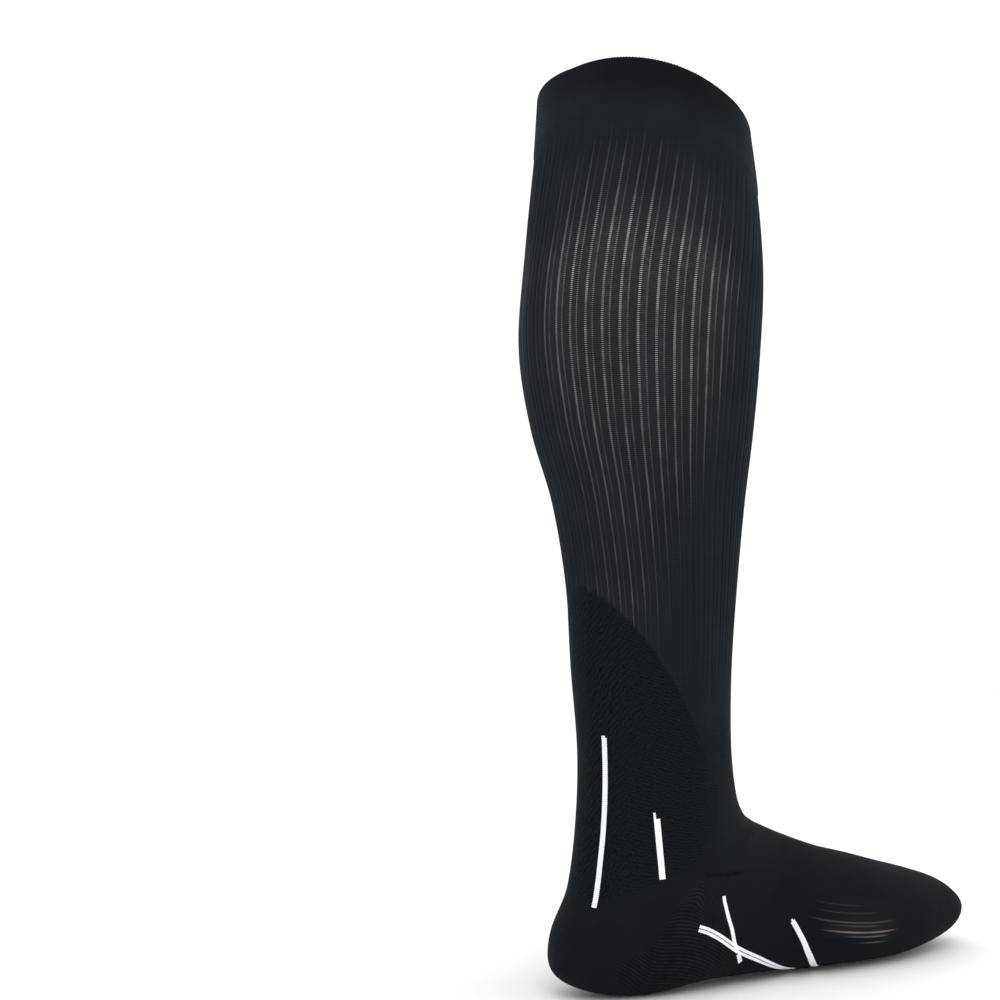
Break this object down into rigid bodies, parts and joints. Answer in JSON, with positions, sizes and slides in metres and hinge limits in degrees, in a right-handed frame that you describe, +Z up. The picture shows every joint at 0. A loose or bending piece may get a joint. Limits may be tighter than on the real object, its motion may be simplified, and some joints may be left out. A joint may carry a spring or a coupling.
{
  "type": "compression stocking",
  "caption": "Knee-high compression stocking for a right foot, one knitted tube with a turned welt, ribbed leg, dense heel, foot and closed toe, open at the top.",
  "frame": {"origin": "centre of the welt, where the wearer's leg holds the stocking up", "axes": "+Z up along the leg, toes towards -Y, the wearer's inner side towards +X"},
  "size_m": [0.124, 0.2872, 0.4432],
  "materials": {
    "plain_knit": "close plain knit in black nylon and elastane",
    "rib_knit": "ribbed knit in black, slightly sheer in the grooves",
    "dense_knit": "thick tuck knit in black with a fine slanting grain",
    "white_yarn": "white yarn knitted in as plain strokes"
  },
  "bodies": {
    "root": {"welt": "plain_knit", "leg": "rib_knit", "heel": "dense_knit", "foot": "plain_knit", "toe": "dense_knit"}
  },
  "joints": []
}
